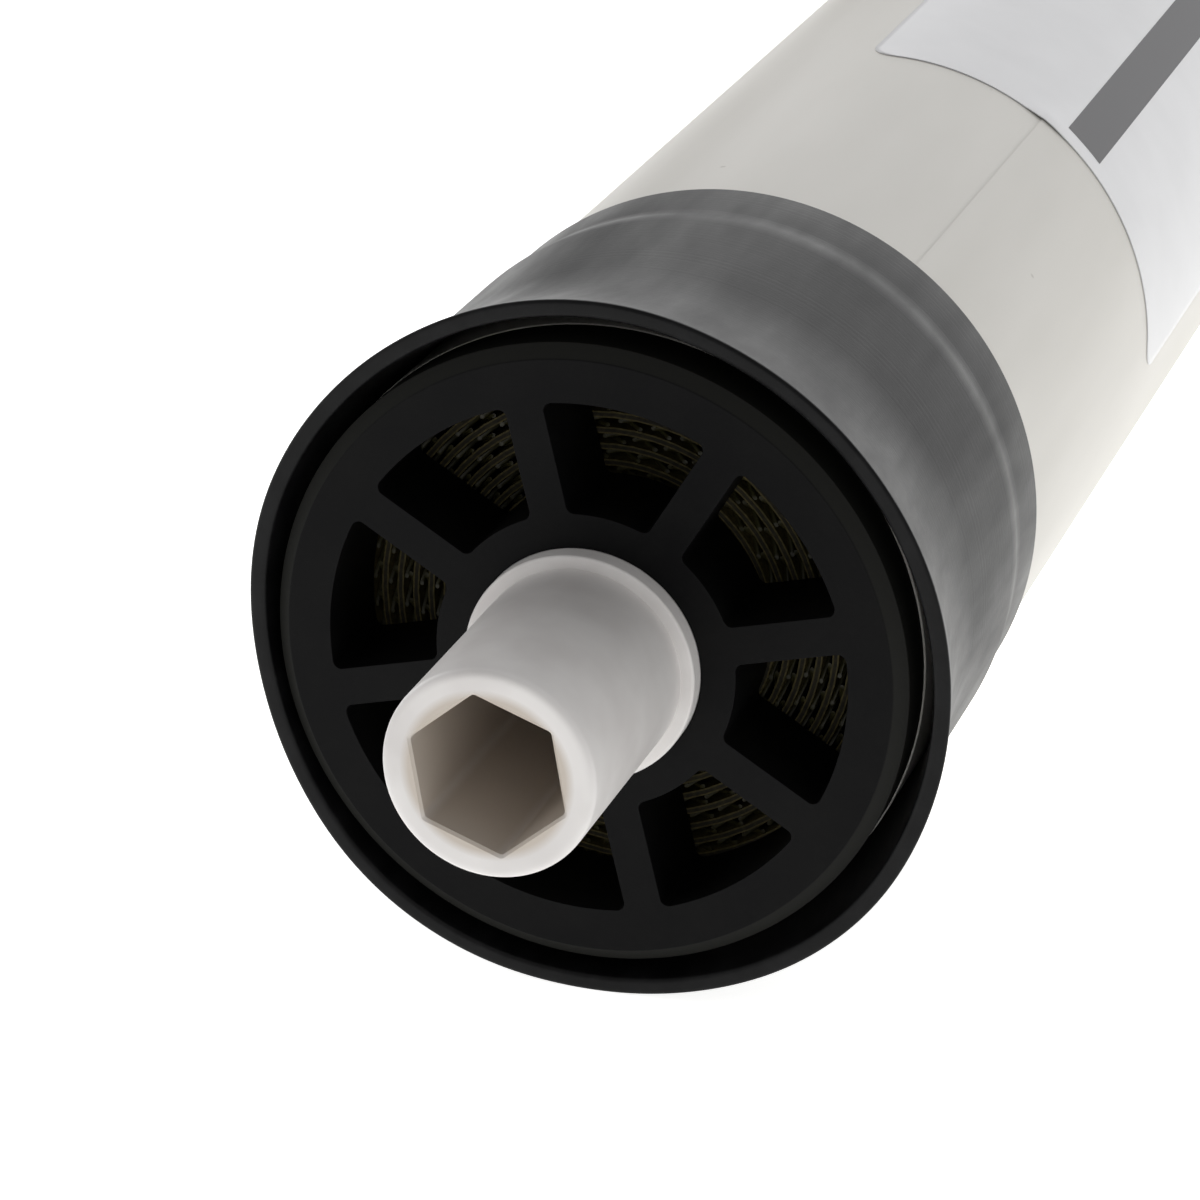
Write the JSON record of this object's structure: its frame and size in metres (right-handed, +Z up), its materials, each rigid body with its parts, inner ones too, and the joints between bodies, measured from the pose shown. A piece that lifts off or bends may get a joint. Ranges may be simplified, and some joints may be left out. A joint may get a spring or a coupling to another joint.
{
  "type": "spiral-wound reverse osmosis membrane element",
  "caption": "Spiral-wound water membrane element: hexagonal-bore tube, wound sheets, wagon-wheel ends, film wrap and a rubber brine seal.",
  "frame": {"origin": "centre of the tube's shoulder at the front end, where the turned-down tube end starts", "axes": "+Y along the tube from the front, brine-seal end to the rear end; +Z up as the element lies in the picture's view"},
  "size_m": [0.0657, 0.5334, 0.0665],
  "materials": {
    "tube_plastic": "satin moulded",
    "wheel_plastic": "satin moulded",
    "membrane_sheet": "matt",
    "wrap_film": "smooth satin film",
    "seal_rubber": "matt with a soft sheen",
    "label_film": "satin"
  },
  "bodies": {
    "root": {"permeate_tube": "tube_plastic", "front_end_wheel": "wheel_plastic", "rear_end_wheel": "wheel_plastic", "membrane_leaf_1": "membrane_sheet", "membrane_leaf_2": "membrane_sheet", "outer_wrap": "wrap_film", "brine_seal": "seal_rubber", "label": "label_film"}
  },
  "joints": []
}
